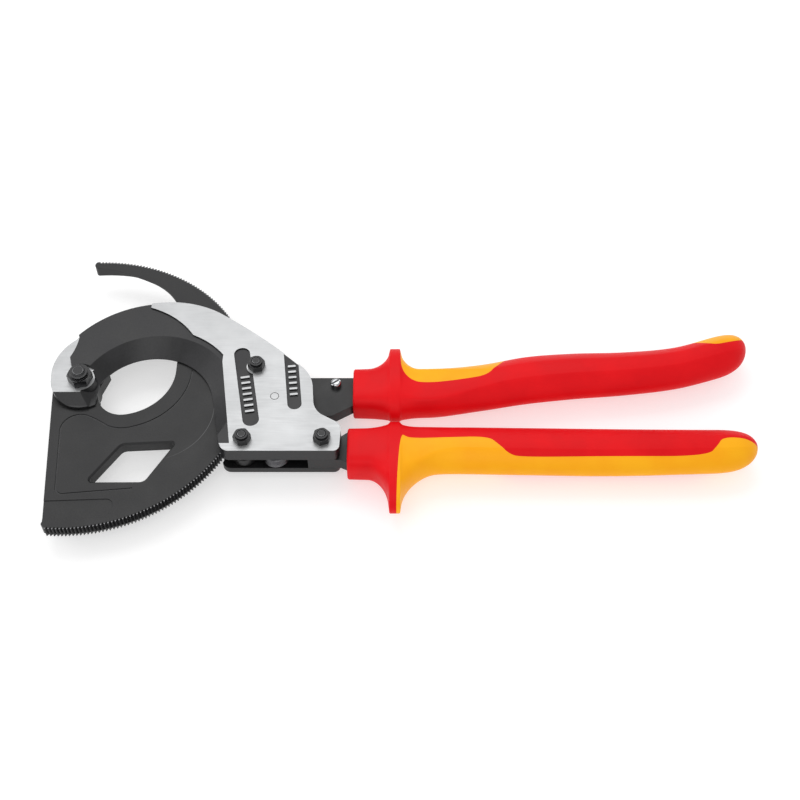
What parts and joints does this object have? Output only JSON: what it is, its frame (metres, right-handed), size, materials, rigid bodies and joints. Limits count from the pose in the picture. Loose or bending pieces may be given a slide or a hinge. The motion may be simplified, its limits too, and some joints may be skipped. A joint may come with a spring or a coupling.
{
  "type": "ratchet cable cutter",
  "caption": "Long-handled ratchet cable cutter: toothed sector blade with a horn swinging under a fixed cutting bow, black and ground steel head, red and yellow insulated grips.",
  "frame": {"origin": "on the blade's pivot axis, in the flat face of the pivot bolt's head, which is the plane the tool rests on", "axes": "+X to the handle ends, +Y up the head, square to the handles, +Z out of the front, the side with the nuts and the ground face"},
  "size_m": [0.3246, 0.154, 0.0274],
  "materials": {
    "forged_steel": "black phosphated forging with a bright ground face",
    "black_steel": "black phosphated, satin",
    "blade_steel": "hardened, black phosphated, satin",
    "bolt_steel": "black oxide, lightly oiled",
    "ground_steel": "ground",
    "spring_steel": "drawn wire",
    "plated_steel": "bright nickel plated",
    "bush_bronze": "sintered bronze",
    "red_grip": "moulded insulation, satin",
    "yellow_grip": "soft moulded insulation, satin"
  },
  "bodies": {
    "root": {"front_forging": "forged_steel", "rear_plate": "black_steel", "spring_post": "bolt_steel", "stop_pin": "bolt_steel", "pivot_bolt": "bolt_steel", "pivot_nut": "bolt_steel", "pivot_washer": "bolt_steel", "pivot_bush": "bush_bronze", "frame_bolts": "bolt_steel", "frame_nuts": "bolt_steel", "pawl_bush": "bolt_steel", "spacer_sleeve": "bolt_steel", "handle_pivot_pin": "ground_steel", "retaining_pawl_spring": "spring_steel", "opening_spring": "spring_steel", "fixed_handle_bar": "black_steel", "fixed_grip_base": "red_grip", "fixed_grip_cover": "yellow_grip", "tang_dowel": "ground_steel", "catch_peg": "ground_steel"},
    "blade": {"cutting_blade": "blade_steel"},
    "moving_handle": {"moving_handle_bar": "black_steel", "moving_grip_base": "red_grip", "moving_grip_cover": "yellow_grip", "drive_pawl_pin": "ground_steel", "drive_pawl_spring": "spring_steel", "catch_pin": "plated_steel", "catch_spacer": "bolt_steel", "catch_ring": "spring_steel"},
    "drive_pawl": {"drive_pawl": "ground_steel"},
    "retaining_pawl": {"retaining_pawl": "black_steel"},
    "catch": {"catch_lever": "black_steel"}
  },
  "joints": [
    {"name": "blade_swing", "type": "hinge", "parent": "root", "child": "blade", "pos_m": [0, 0, 0.01225], "axis": [0, 0, 1], "range_deg": [-130, 70]},
    {"name": "handle_squeeze", "type": "hinge", "parent": "root", "child": "moving_handle", "pos_m": [0.09, -0.0116, 0.01225], "axis": [0, 0, 1], "range_deg": [0, 25], "deforming": ["opening_spring"]},
    {"name": "drive_pawl_swing", "type": "hinge", "parent": "moving_handle", "child": "drive_pawl", "pos_m": [0.0816, -0.0152, 0.01225], "axis": [0, 0, 1], "range_deg": [-20, 5], "deforming": ["drive_pawl_spring"]},
    {"name": "retaining_pawl_swing", "type": "hinge", "parent": "root", "child": "retaining_pawl", "pos_m": [0.0769, -0.0352, 0.01225], "axis": [0, 0, 1], "range_deg": [-8, 0], "deforming": ["retaining_pawl_spring"]},
    {"name": "catch_swing", "type": "hinge", "parent": "moving_handle", "child": "catch", "pos_m": [0.1172, 0.0002, 0.01225], "axis": [0, 0, 1], "range_deg": [0, 45]}
  ],
  "couplings": [
    {"joint": "drive_pawl_swing", "follows": "handle_squeeze", "ratio": -0.2}
  ]
}
